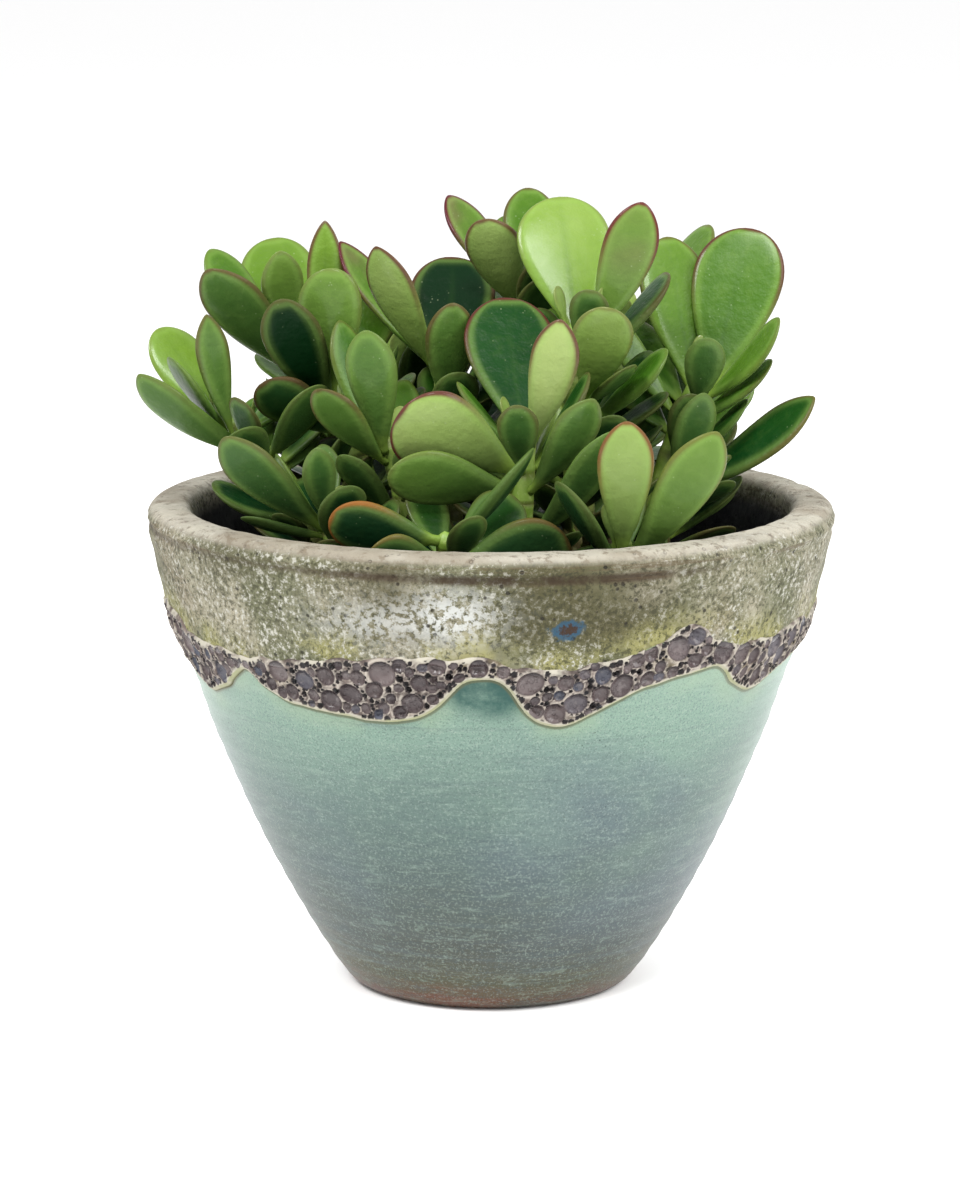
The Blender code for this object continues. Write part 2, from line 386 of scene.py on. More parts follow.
def recess(over_drip, under_crust):
    """How deep the body is cut away under the lava glaze, which lies in the hollow."""
    return 3.4 * MM * soft(over_drip, 1.3 * MM, 3.0 * MM) * soft(under_crust, 1.0 * MM, 2.4 * MM)


outward = np.where(is_outer[:, None], 1.0, -1.0)
change = throwing * (1 - crusty) * is_outer[:, None] + lumps * crusty * outward
change += is_outer[:, None] * (0.5 * MM * crusty - 1.3 * MM * lip_groove - recess(above_drip, -above_crust))
calm = soft(grid_height, 0.0, 0.012)
grid_radius = grid_radius + (change + (wobble - 0.35 * MM) * 0.6) * calm
rim_lift = np.where(grid_height > rim_top - 3 * MM, -np.abs(lumps) * 0.8, 0.0)
pot_points = np.stack([
    grid_radius * np.sin(radians), -grid_radius * np.cos(radians), grid_height + rim_lift,
], axis=-1).reshape(-1, 3)


def tube_faces(row_count, columns, start=0):
    """Quads over rows of points that close on themselves, facing out when the rows rise."""
    faces = []
    for row in range(row_count - 1):
        for i in range(columns):
            j = (i + 1) % columns
            a, b = start + row * columns, start + (row + 1) * columns
            faces.append((a + i, a + j, b + j, b + i))
    return faces


def capped_faces(row_count, columns, start=0):
    """The same quads with a fan at either end, to the two points that follow the rows."""
    faces = tube_faces(row_count, columns, start)
    pole = start + row_count * columns
    last = pole - columns
    for i in range(columns):
        j = (i + 1) % columns
        faces.append((start + j, start + i, pole))
        faces.append((last + i, last + j, pole + 1))
    return faces


pot_faces = capped_faces(len(outline), pot_columns)
pot_points = np.vstack([pot_points, [[0, 0, 0.0]], [[0, 0, float(outline[-1, 1])]]])
inside_mask = np.where(is_outer[:, None], 0.0, soft(rim_top - grid_height, 3 * MM, 9 * MM))
top_mask = soft(grid_height, rim_top - 3 * MM, rim_top - 0.8 * MM) + 0 * grid_radius


def with_poles(values, foot, floor):
    """The values of the grid's points, then those of the middle of the foot and of the floor inside."""
    return np.concatenate([np.asarray(values, float).ravel(), [foot, floor]])


# The celadon: its greens by height, then streaks, freckles, pools and the line under the bead.
clay = Recipe("pot_glazes", IOR=1.5, Specular_IOR_Level=0.20, Coat_Roughness=0.22)
up = clay.node("ShaderNodeSeparateXYZ", {}, {"Vector": clay.place()})["Z"]
drip = clay.attribute("above_drip")
crust = clay.attribute("above_crust")
inside = clay.attribute("inside")
top = clay.attribute("rim")

blotch = clay.noise(28, 4, 0.6)
grainy = clay.noise(1900, 2, 0.6)
fine = clay.noise(1250, 4, 0.75)
rings = clay.noise(16, 4, 0.65, stretch=(1, 1, 22))
drag = clay.noise(130, 4, 0.7, stretch=(1, 1, 6))
level = up + (blotch - 0.5) * 0.018 + (rings - 0.5) * 0.022
celadon = clay.node("ShaderNodeValToRGB", {"stops": (
    (0.00, paint(110, 60, 32)), (0.03, paint(94, 70, 40)), (0.08, paint(84, 81, 56)),
    (0.18, paint(78, 83, 76)), (0.38, paint(85, 101, 97)), (0.60, paint(103, 127, 119)),
    (0.80, paint(130, 160, 143)), (1.0, paint(150, 181, 160)),
)}, {"Fac": level * 8.8})["Color"]
bluish = clay.noise(15, 3, 0.55).step(0.46, 0.66) * up.step(0.100, 0.075) * up.step(0.012, 0.035)
greenish = clay.noise(12, 2, 0.5).step(0.52, 0.68) * up.step(0.03, 0.06)
freckle = clay.cells(420).step(0.15, 0.07) * clay.noise(60).step(0.55, 0.65)
under_drip = drip.step(-0.0085, -0.0005)
pooled = under_drip * clay.noise(46, 2, 0.5).step(0.38, 0.62)
arch = clay.attribute("arch")
arch_depth = arch * (clay.noise(120, 4, 0.7).step(0.30, 0.62) * 0.4 + 0.6)
bare_line = drip.step(-0.0011, -0.0004) * drip.step(0.0012, 0.0002)
celadon = clay.layers(
    celadon,
    (bluish * 0.50, 100, 114, 126),
    (greenish * 0.30, 146, 178, 152),
    (rings.step(0.52, 0.68) * 0.35, 90, 106, 108),
    (drag.step(0.50, 0.66) * up.step(0.098, 0.05) * 0.38, 78, 92, 96),
    (drag.step(0.46, 0.34) * 0.26, 160, 184, 168),
    (fine.step(0.52, 0.62) * 0.36, 176, 194, 180),
    (grainy.step(0.52, 0.64) * 0.45, 72, 92, 94),
    (freckle * 0.6, 52, 64, 62),
    (pooled * 0.30, 168, 190, 150),
    (arch_depth, 38, 88, 80),
    (bare_line * 0.75, 96, 98, 62),
)

# The crust: stone and olive patches under salt, frost, pits, the lip's dark line, which is brown
# weathering with painted shadow in the groove under the lip, and the worn rim.
stain = clay.noise(24, 5, 0.65)
patch = clay.noise(12, 4, 0.6, stretch=(1.2, 1.2, 0.8))
speckle = clay.noise(620, 4, 0.75)
coat = clay.mix(stain.step(0.36, 0.62), paint(182, 175, 152), paint(122, 123, 94))
near_lava_tint = crust.step(0.011, 0.002) * clay.noise(60, 3, 0.6).step(0.38, 0.6)
salt = speckle.step(0.470, 0.40) * clay.noise(40, 4, 0.65).step(0.32, 0.60)
salt = salt * (1.0 - clay.attribute("olive") * 0.75)
frost = clay.attribute("frost") * clay.noise(500, 3, 0.7).step(0.42, 0.54)
pits = clay.cells(330).step(0.24, 0.12) * clay.noise(130, 2, 0.5).step(0.48, 0.58)
# The lip's dark line: brown weathering and painted shadow in the groove under the lip.
lip_line = clay.attribute("groove").step(0.05, 0.7) * clay.noise(64, 4, 0.7).step(0.28, 0.50)
lip_face = up.step(rim_top - 9 * MM, rim_top - 7 * MM)
strata = clay.noise(26, 5, 0.7, stretch=(1, 1, 26)).step(0.53, 0.60) * lip_face
worn = clay.noise(300, 4, 0.7)
blue_spot = clay.attribute("blue")
ragged_spot = blue_spot + (clay.noise(190, 4, 0.7) - 0.5) * 1.5
coat = clay.layers(
    coat,
    (patch.step(0.47, 0.58) * 0.80, 104, 105, 70),
    (clay.noise(17, 3, 0.6).step(0.54, 0.66) * 0.55, 150, 136, 112),
    (clay.attribute("olive") * stain.step(0.15, 0.5) * 0.85, 80, 75, 46),
    (near_lava_tint * 0.8, 166, 162, 102),
    (clay.noise(210, 4, 0.7).step(0.50, 0.62) * 0.42, 86, 84, 56),
    (speckle.step(0.52, 0.60) * 0.74, 58, 58, 38),
    (salt * 0.9, 218, 216, 204),
    (frost * 0.9, 226, 228, 224),
    (pits * 0.85, 42, 38, 30),
    (lip_line * 0.85, 62, 46, 30),
    (strata * 0.55, 96, 80, 58),
    (top * 0.70, 210, 204, 189),
    (top * worn.step(0.52, 0.64) * 0.65, 112, 98, 80),
    (top * clay.noise(26, 3, 0.6).step(0.50, 0.64) * 0.5, 132, 118, 96),
    (ragged_spot.step(0.40, 0.66) * 0.92, 48, 86, 110),
    ((ragged_spot + (fine - 0.5) * 1.2).step(0.74, 0.96), 64, 46, 34),
)

matt = crust.step(-0.0008, 0.0004)
glazed = clay.mix(matt, celadon, coat)
# Down inside the pot the wall turns near black, deeper below the rim: painted shade.
inner_wall_shade = clay.mix(clay.noise(120, 4, 0.7).step(0.4, 0.7), paint(20, 23, 28), paint(58, 60, 60))
glazed = clay.mix(inside, glazed, inner_wall_shade)
roughness = 0.40 + matt * 0.32 + (fine - 0.5) * 0.16 + inside * 0.15
relief = matt * (salt * 0.45 + speckle * 0.8 - pits * 1.2 + worn * 0.4) + grainy * 0.12 * (1 - matt)
relief = relief + clay.noise(150, 3, 0.6) * matt * 0.8 + rings * 0.35 * (1 - matt)
pot_finish = clay.finish(glazed, roughness, relief, 0.55 * MM, 0.85, gloss=(1.0 - matt) * 0.14)

# Where single marks sit round the pot, as (degrees from the front, height in mm) and their spread.
span = (grid_turn + 180) % 360 - 180
up_wall = grid_height / MM
arch_mask = np.zeros_like(span)
for centre, height, spread in (
    (-2.4, 109.5, 5.5), (0.4, 104.5, 6), (128, 105, 6), (-120, 106, 7), (182, 106, 7),
):
    across = (span - centre + 180) % 360 - 180
    arch_mask += 1.5 * hill(across, 0, spread) * hill(up_wall, height, 5.5)
# The lip's dark line is partly brown weathering and partly painted shadow in the groove, made fainter round
# the right side.
lip_shadow_and_weathering = 1 - 0.8 * soft(span, 26, 46) * (1 - soft(span, 95, 120))
olive_mask = soft(grid_height, 0.114, 0.124) * (
    hill(span, -17, 8) + 1.1 * hill(span, 18, 15) + 0.5 * hill(span, 5, 4)
    + 0.6 * hill(span, -47, 9) * soft(grid_height, 0.132, 0.136) + 0.8 * hill(np.abs(span), 150, 22)
)
frost_mask = hill(span, -6, 7) * hill(up_wall, 129, 7)
frost_mask += 0.55 * hill(span, -20, 10) * hill(up_wall, 126, 6)
frost_mask += 0.7 * hill(span, 160, 12) * hill(up_wall, 128, 6)
blue_mask = hill(span, 12.5, 3.1) * hill(up_wall, 124.3, 3.3)
pot = make_piece("pot_body", pot_points, pot_faces, pot_finish, {
    "above_drip": with_poles(above_drip, -far_away, far_away),
    "above_crust": with_poles(above_crust, -far_away, far_away),
    "inside": with_poles(inside_mask, 0, 1),
    "rim": with_poles(top_mask, 0, 0),
    "arch": with_poles(np.clip(arch_mask, 0, 1) * is_outer[:, None], 0, 0),
    "olive": with_poles(np.clip(olive_mask, 0, 1), 0, 0),
    "frost": with_poles(np.clip(frost_mask, 0, 1) * is_outer[:, None], 0, 0),
    "groove": with_poles(lip_groove * is_outer[:, None] * lip_shadow_and_weathering, 0, 0),
    "blue": with_poles(blue_mask * is_outer[:, None], 0, 0),
})
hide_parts("pot")


# ==== Lava glaze =========================================================================
# A thick volcanic glaze boiled in the kiln and set as a collar of burst bubbles. Its lower
# edge ran down in rounded drips that end in a cream bead; its upper edge meets the crust.

lava_columns = 1216
lava_rows = 68
lava_low, lava_high = 0.0912, 0.1258
lava_turns = np.arange(lava_columns) * 360 / lava_columns
lava_levels = np.linspace(lava_low, lava_high, lava_rows)
lava_turn, lava_height = np.meshgrid(lava_turns, lava_levels)
over_drip = signed_distance(drip_line, drip_tree, lava_turn, lava_height)
under_crust = -signed_distance(crust_line, crust_tree, lava_turn, lava_height)

bubble_rng = np.random.default_rng(11)
girth = drip_tree[1]
flat_across = np.radians((lava_turn + 180) % 360 - 180) * girth


def add_bubbles(standing, tries, low, high, margin, gap):
    """Throws bubbles of one size range in mm at the collar and adds those that find room."""
    turns = bubble_rng.uniform(-180, 180, tries)
    heights = bubble_rng.uniform(lava_low, lava_high, tries)
    radii = bubble_rng.uniform(low, high, tries) * MM
    drips = signed_distance(drip_line, drip_tree, turns, heights)
    crusts = -signed_distance(crust_line, crust_tree, turns, heights)
    fits = (drips > radii * 0.9 + margin * MM) & (crusts > radii * 0.6 + 0.1 * MM)
    for turn, height, radius in zip(turns[fits], heights[fits], radii[fits]):
        across = math.radians(turn) * girth
        sideways = np.abs(standing[:, 0] - across)
        sideways = np.minimum(sideways, 2 * math.pi * girth - sideways)
        apart = np.hypot(sideways, standing[:, 1] - height)
        if (apart >= standing[:, 2] + radius + gap * MM).all():
            standing = np.vstack([standing, (across, height, radius)])
    return standing


bubbles = np.zeros((0, 3))
for tries, low, high, margin, gap in (
    (2500, 2.4, 4.4, 0.4, -1.20), (9000, 1.4, 2.3, 0.3, -0.75),
    (18000, 0.85, 1.3, 0.25, -0.36), (22000, 0.62, 0.82, 0.20, -0.12),
):
    bubbles = add_bubbles(bubbles, tries, low, high, margin, gap)

# Each bubble's hollow, and for its paint how deep it is, how much painted shade falls on its upper
# side, whether it is a small pore painted near black as painted shade, and which tint it is.
hollow, cup, pore, tuck, tint, lip = (np.zeros_like(lava_turn) for _ in range(6))
column_pitch = 2 * math.pi * girth / lava_columns
row_pitch = (lava_high - lava_low) / (lava_rows - 1)
for across, height, radius in bubbles:
    squash = bubble_rng.uniform(0.82, 1.0)
    lean = bubble_rng.uniform(0, math.pi)
    colour = bubble_rng.uniform(0, 1)
    middle = int(round(((across / girth) % (2 * math.pi)) / (2 * math.pi) * lava_columns))
    reach = int(radius * 1.5 / column_pitch) + 2
    columns = np.arange(middle - reach, middle + reach + 1) % lava_columns
    first = max(0, int((height - lava_low - radius * 1.5) / row_pitch))
    last = min(lava_rows, int((height - lava_low + radius * 1.5) / row_pitch) + 2)
    window = np.ix_(np.arange(first, last), columns)
    dx = (flat_across[window] - across + math.pi * girth) % (2 * math.pi * girth) - math.pi * girth
    dz = lava_height[window] - height
    along = dx * math.cos(lean) + dz * math.sin(lean)
    beside = -dx * math.sin(lean) + dz * math.cos(lean)
    share = np.hypot(along, beside / squash) / radius
    deep = np.clip(1 - share ** 2, 0, 1)
    depth = min(2.1 * MM, radius * (0.72 if radius > 1.3 * MM else 1.4))
    undercut = 1 + 0.45 * np.clip(dz / radius, -1, 1)
    hollow[window] = np.maximum(hollow[window], depth * deep ** 0.7 * undercut)
    shaded = np.maximum(tuck[window], soft(dz / radius, 0.15, 0.8))
    tuck[window] = np.where(share < 1.0, shaded, tuck[window])
    cup[window] = np.maximum(cup[window], deep)
    lip[window] = np.maximum(lip[window], hill(share, 1.06, 0.14))
    pore[window] = np.where(share < 1, 1.0 if radius < 1.2 * MM else 0.0, pore[window])
    tint[window] = np.where(share < 1.05, colour, tint[window])

bead = hill(over_drip, 0.75 * MM, 0.55 * MM)
thickness = -0.9 * MM + 1.55 * MM * soft(over_drip, -0.7 * MM, 0.8 * MM) + 0.3 * MM * bead
thickness = np.minimum(thickness, 0.75 * MM - 1.3 * MM * (1 - soft(under_crust, -1.6 * MM, 0.5 * MM)))
ripple = 0.16 * MM * np.sin(flat_across * 900) * np.sin(lava_height * 1100 + flat_across * 300)
thickness += ripple * soft(over_drip, 0.5 * MM, 2 * MM) + 0.16 * MM * lip * (over_drip > 0.5 * MM)
room = thickness + recess(over_drip - 0.3 * MM, under_crust - 0.3 * MM) - 0.3 * MM
hollow = np.minimum(hollow, np.maximum(room, 0.0))
lava_radius = wall_radius(lava_height) + thickness - hollow
lava_radius = np.minimum(lava_radius, wall_radius(np.array([lava_high]))[0] + 2 * MM)
lava_angle = np.radians(lava_turn)
lava_points = np.stack([
    lava_radius * np.sin(lava_angle), -lava_radius * np.cos(lava_angle), lava_height,
], axis=-1).reshape(-1, 3)
ring_angle = np.radians(lava_turns)
back_rows = [
    np.stack([r * np.sin(ring_angle), -r * np.cos(ring_angle), 0 * ring_angle + z], axis=-1)
    for r, z in ((float(wall_radius(z)) - 4 * MM, z) for z in (lava_high, lava_low))
]
lava_points = np.vstack([lava_points, *back_rows])
lava_faces = tube_faces(lava_rows + 2, lava_columns)
last_row = (lava_rows + 1) * lava_columns
for i in range(lava_columns):
    j = (i + 1) % lava_columns
    lava_faces.append((last_row + i, last_row + j, j, i))


def with_back(values):
    """The values of the collar's face, then zeros for its two hidden rows."""
    return np.concatenate([np.asarray(values, float).ravel(), np.zeros(2 * lava_columns)])


lava = Recipe("lava_glaze", IOR=1.5, Specular_IOR_Level=0.16, Coat_Roughness=0.16)
cupped = lava.attribute("cup")
shade = lava.attribute("tint")
rise = lava.attribute("over_drip")
meet = lava.attribute("under_crust")
web = lava.mix(lava.noise(260, 3, 0.6).step(0.35, 0.65), paint(122, 108, 101), paint(78, 68, 64))
burst_lip = lava.attribute("lip") * lava.noise(330, 3, 0.6).step(0.30, 0.60)
edge_pale = meet.step(0.0020, 0.0004) * lava.noise(150, 3, 0.6).step(0.42, 0.60)
edge_pale = edge_pale + rise.step(0.0017, 0.0009)
# Pinholes in the web are painted near black: painted shade inside the holes.
pinholes = lava.cells(640).step(0.40, 0.30) * rise.step(0.0008, 0.0013) * meet.step(0.0002, 0.0006)
web = lava.layers(
    web,
    (lava.noise(70, 3, 0.6).step(0.56, 0.66) * 0.35, 140, 128, 86),
    (burst_lip * 0.85, 214, 204, 191),
    (edge_pale, 200, 194, 178),
    (pinholes * lava.noise(170, 2, 0.5).step(0.36, 0.48), 22, 17, 20),
)
# The crater floors, with painted shade on their steep walls and upper sides and near-black painted shade in
# the small pores.
crater = lava.mix(shade, paint(72, 60, 62), paint(128, 114, 112))
crater = lava.layers(
    crater,
    (shade.step(0.72, 0.95), 84, 88, 102),
    (lava.noise(480, 3, 0.6).step(0.5, 0.7) * 0.5, 150, 140, 138),
    (cupped.step(0.45, 0.15) * 0.35, 40, 32, 36),
    (lava.attribute("tuck") * 0.80, 30, 23, 27),
    (lava.attribute("pore") * 0.92, 12, 9, 11),
)
bubble_skin = lava.mix(cupped.step(0.04, 0.20), web, crater)
bead_coat = lava.mix(lava.noise(110, 2, 0.5).step(0.4, 0.6), paint(178, 180, 140), paint(194, 190, 166))
bead_coat = lava.mix(rise.step(0.0002, -0.0002), bead_coat, paint(92, 88, 54))
lava_colour = lava.mix(rise.step(0.0010, 0.0005), bubble_skin, bead_coat)
lava_roughness = 0.58 - cupped.step(0.10, 0.34) * 0.34 + lava.noise(300) * 0.1
lava_gloss = cupped.step(0.20, 0.60) * (1.0 - lava.attribute("pore") * 0.8) * 0.35
lava_relief = lava.noise(900, 3, 0.7) - pinholes * 2.0
lava_finish = lava.finish(lava_colour, lava_roughness, lava_relief, 0.25 * MM, 0.8, lava_gloss)
collar = make_piece("lava_collar", lava_points, lava_faces, lava_finish, {
    "cup": with_back(cup), "tint": with_back(tint), "pore": with_back(pore), "tuck": with_back(tuck),
    "lip": with_back(lip),
    "over_drip": with_back(over_drip), "under_crust": with_back(under_crust),
})


# ==== Soil ===============================================================================
# The pot is filled to a little under its lip with dark potting soil, crumbly and slightly
# mounded, with bark chips and a few dry twigs lying loose on it.

soil_edge = float(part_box("soil")[1][2]) - 2.0 * MM
soil_reach = 0.0862
soil_rise = 2.2 * MM
soil_rows, soil_columns = 40, 150
soil_outline = [(soil_reach - 2.4 * MM, soil_edge - 12 * MM), (soil_reach, soil_edge - 1.5 * MM)]
soil_outline += [(soil_reach * (1 - k / (soil_rows - 1) * 0.985), None) for k in range(soil_rows)]
soil_points = []
for radius, height in soil_outline:
    for i in range(soil_columns):
        angle = i * 2 * math.pi / soil_columns
        x, y = radius * math.cos(angle), radius * math.sin(angle)
        if height is None:
            mound = soil_edge + soil_rise * (1 - (radius / soil_reach) ** 2)
            rough = math.sin(x * 310 + 2 * math.sin(y * 170)) * math.sin(y * 280 + 1.5 * math.sin(x * 210))
            rough += 0.5 * math.sin(x * 900 + y * 500) * math.sin(y * 800 - x * 350)
            z = mound + 0.9 * MM * rough
        else:
            z = height
        soil_points.append((x, y, z))
soil_faces = capped_faces(len(soil_outline), soil_columns)
soil_points += [(0, 0, soil_outline[0][1]), (0, 0, soil_edge + 2.4 * MM)]


def soil_mix(name, dark, pale, lift):
    """Potting soil: dark humus with paler fibres and specks of grit."""
    humus = Recipe(name)
    clumps = humus.noise(260, 4, 0.7)
    specks = humus.cells(420).step(0.20, 0.10) * humus.noise(90).step(0.5, 0.6)
    colour = humus.mix(clumps.step(0.36, 0.70), dark, pale)
    colour = humus.mix(specks * 0.6, colour, paint(120, 96, 66))
    return humus.finish(colour, 0.88 + (clumps - 0.5) * 0.2, clumps + specks * lift, 0.8 * MM, 1.0)


soil_finish = soil_mix("potting_soil", paint(26, 19, 15), paint(64, 48, 36), 0.4)
bed = make_piece("soil_bed", soil_points, soil_faces, soil_finish)


class Plan:
    """A Geometry Nodes tree with named inputs, built node by node and then made a plain mesh."""

    def __init__(self, name, inputs):
        self.tree = bpy.data.node_groups.new(name, "GeometryNodeTree")
        self.tree.interface.new_socket("Geometry", in_out="OUTPUT", socket_type="NodeSocketGeometry")
        self.tree.interface.new_socket("Geometry", in_out="INPUT", socket_type="NodeSocketGeometry")
        self.values = {}
        for label, (kind, value) in inputs.items():
            socket = self.tree.interface.new_socket(label, in_out="INPUT", socket_type=kind)
            self.values[socket.identifier] = value
        self.given = self.tree.nodes.new("NodeGroupInput")

    def node(self, kind, settings, sockets):
        made = self.tree.nodes.new(kind)
        for name, value in settings.items():
            setattr(made, name, value)
        for name, value in sockets.items():
            if isinstance(value, bpy.types.NodeSocket):
                self.tree.links.new(value, made.inputs[name])
            else:
                made.inputs[name].default_value = value
        return made

    def build(self, name, carrier, last):
        """Runs the tree on a carrier object and returns what it made as a plain object."""
        out = self.tree.nodes.new("NodeGroupOutput")
        self.tree.links.new(last, out.inputs["Geometry"])
        modifier = carrier.modifiers.new(name, "NODES")
        modifier.node_group = self.tree
        for identifier, value in self.values.items():
            modifier[identifier] = value
        bpy.context.view_layer.update()
        result = carrier.evaluated_get(bpy.context.evaluated_depsgraph_get())
        mesh = bpy.data.meshes.new_from_object(result)
        carrier.modifiers.remove(modifier)
        made = bpy.data.objects.new(name, mesh)
        bpy.context.scene.collection.objects.link(made)
        return made


chips_finish = soil_mix("bark_chips", paint(52, 36, 24), paint(104, 80, 56), 0.2)
chips = Plan("scatter_chips", {
    "Density": ("NodeSocketFloat", 52000.0), "Smallest": ("NodeSocketFloat", 0.5),
    "Largest": ("NodeSocketFloat", 1.7), "Grain": ("NodeSocketFloat", 1.15 * MM),
})
scatter = chips.node("GeometryNodeDistributePointsOnFaces", {"distribute_method": "RANDOM"}, {
    "Mesh": chips.given.outputs["Geometry"], "Density": chips.given.outputs["Density"], "Seed": 5,
})
grain = chips.node("GeometryNodeMeshIcoSphere", {}, {
    "Radius": chips.given.outputs["Grain"], "Subdivisions": 1,
})
flatten = chips.node("FunctionNodeRandomValue", {"data_type": "FLOAT_VECTOR"}, {
    0: (0.5, 0.4, 0.25), 1: (1.7, 1.1, 0.7), "Seed": 9,
})
turned_any = chips.node("FunctionNodeRandomValue", {"data_type": "FLOAT_VECTOR"}, {
    0: (0.0, 0.0, 0.0), 1: (6.28, 6.28, 6.28), "Seed": 12,
})
sizes = chips.node("FunctionNodeRandomValue", {"data_type": "FLOAT"}, {"Seed": 3})
chips.tree.links.new(chips.given.outputs["Smallest"], sizes.inputs[2])
chips.tree.links.new(chips.given.outputs["Largest"], sizes.inputs[3])
scaled = chips.node("ShaderNodeVectorMath", {"operation": "SCALE"}, {
    "Vector": flatten.outputs[0], "Scale": sizes.outputs[1],
})
strewn = chips.node("GeometryNodeInstanceOnPoints", {}, {
    "Points": scatter.outputs["Points"], "Instance": grain.outputs["Mesh"],
    "Rotation": turned_any.outputs[0], "Scale": scaled.outputs["Vector"],
})
real = chips.node("GeometryNodeRealizeInstances", {}, {"Geometry": strewn.outputs["Instances"]})
coated = chips.node("GeometryNodeSetMaterial", {}, {
    "Geometry": real.outputs["Geometry"], "Material": chips_finish,
})

# The chips are strewn over a plain disc that follows the mound and goes again afterwards.
chip_carrier_mesh = bpy.data.meshes.new("chip_ground")
chip_radii, chip_sides = (0.002, 0.03, 0.058, 0.082), 48
chip_rings = [
    (r * math.cos(a), r * math.sin(a), soil_edge + soil_rise * (1 - (r / soil_reach) ** 2) + 0.4 * MM)
    for r in chip_radii for a in np.arange(chip_sides) * 2 * math.pi / chip_sides
]
chip_faces = [f[::-1] for f in tube_faces(len(chip_radii), chip_sides)]
chip_carrier_mesh.from_pydata(chip_rings, [], chip_faces)
chip_carrier = bpy.data.objects.new("chip_ground", chip_carrier_mesh)
bpy.context.scene.collection.objects.link(chip_carrier)
crumbs = chips.build("soil_chips", chip_carrier, coated.outputs["Geometry"])
bpy.data.objects.remove(chip_carrier)
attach(crumbs, "root")
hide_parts("soil")


def tube_between(path, radii, sides):
    """The rings of a round tube along a path, as an array of rows."""
    path = np.asarray(path, float)
    along = np.gradient(path, axis=0)
    along /= np.linalg.norm(along, axis=1)[:, None]
    across = np.cross(np.array([0.0, 1.0, 0.0]), along)
    across /= np.linalg.norm(across, axis=1)[:, None]
    other = np.cross(along, across)
    turn = np.arange(sides) * 2 * math.pi / sides
    return path[:, None] + np.asarray(radii)[:, None, None] * (
        np.cos(turn)[None, :, None] * across[:, None] + np.sin(turn)[None, :, None] * other[:, None])


def closed_rows(rows, start_tip, end_tip, points, faces):
    """Adds a closed loft of rows and its two end points to a growing mesh."""
    faces.extend(capped_faces(*rows.shape[:2], len(points)))
    points.extend([*rows.reshape(-1, 3), start_tip, end_tip])


# Ten twigs lie on the soil, each given by its middle, the way it points in degrees and its length.
twig_rng = np.random.default_rng(7)
twig_points, twig_faces = [], []
for x, y, heading, length in (
    (0.060, -0.036, 160, 0.024), (0.064, -0.018, 75, 0.016), (0.052, -0.052, 20, 0.014),
    (-0.062, -0.030, 65, 0.020), (-0.068, 0.006, 100, 0.018), (-0.040, -0.062, 12, 0.016),
    (0.010, 0.070, 10, 0.022), (-0.050, 0.052, 140, 0.020), (0.058, 0.046, 115, 0.022),
    (0.074, 0.010, 80, 0.015),
):
    steps = np.linspace(-0.5, 0.5, 9)
    bow = twig_rng.uniform(-0.15, 0.15)
    way = np.array([math.cos(math.radians(heading)), math.sin(math.radians(heading))])
    side_way = np.array([-way[1], way[0]])
    bent = bow * (1 - 4 * steps[:, None] ** 2) * side_way
    flat = np.array([x, y]) + length * (steps[:, None] * way + bent)
    lift = soil_edge + 2.6 * MM + 2.0 * MM * twig_rng.uniform(0.2, 1) * (steps + 0.5)
    path = np.column_stack([flat, lift])
    rows = tube_between(path, np.linspace(0.75, 0.35, 9) * MM, 7)
    closed_rows(rows, path[0], path[-1], twig_points, twig_faces)
straw = Recipe("dry_twigs")
fibre = straw.noise(600, 3, 0.6)
straw_colour = straw.mix(fibre.step(0.35, 0.65), paint(122, 92, 58), paint(176, 148, 104))
twig_finish = straw.finish(straw_colour, 0.75 + (fibre - 0.5) * 0.2, fibre, 0.3 * MM)
twigs = make_piece("dry_twigs", twig_points, twig_faces, twig_finish)


# ==== Stems ==============================================================================
# Each shoot stands on one round succulent stem, corky and brown near the soil and fresh
# green above, ringed with the scars of fallen leaves and ending in a bud of two tiny leaves.

def rings_of(node, sides):
    """The rings of a lofted CAD solid from one end to the other, its ends as single points."""
    points, near = merged_copy(node)
    for pole in range(len(points)):
        rings, seen = [[pole]], {pole}
        while True:
            ahead = {j for i in rings[-1] for j in near[i]} - seen
            if not ahead:
                break
            rings.append(sorted(ahead))
            seen |= ahead
        if len(rings[-1]) == 1 and all(len(ring) == sides for ring in rings[1:-1]):
            return [points[ring] for ring in rings]


shoots = [name[len("stem_"):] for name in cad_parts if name.startswith("stem_")]
stem_sides = 16
stem_lines = {}
for shoot in shoots:
    rings = rings_of("stem_" + shoot, 8)
    if rings[0][0][2] > rings[-1][0][2]:
        rings.reverse()
    centres = np.array([ring.mean(axis=0) for ring in rings[2:-1]])
    sizes_here = np.array([np.linalg.norm(ring - ring.mean(axis=0), axis=1).mean() for ring in rings[2:-1]])
    shares = np.linspace(0, 1, len(centres))
    stem_lines[shoot] = (np.polyfit(shares, centres, 2), np.polyfit(shares, sizes_here, 1), rings[-1][0])


def stem_at(shoot, share):
    """A point of the stem's middle line, its direction and its radius at a share of its length."""
    curve, thick, _ = stem_lines[shoot]
    powers = np.array([share ** 2, share, 1.0])
    along = 2 * share * curve[0] + curve[1]
    return powers @ curve, along / np.linalg.norm(along), thick[0] * share + thick[1]


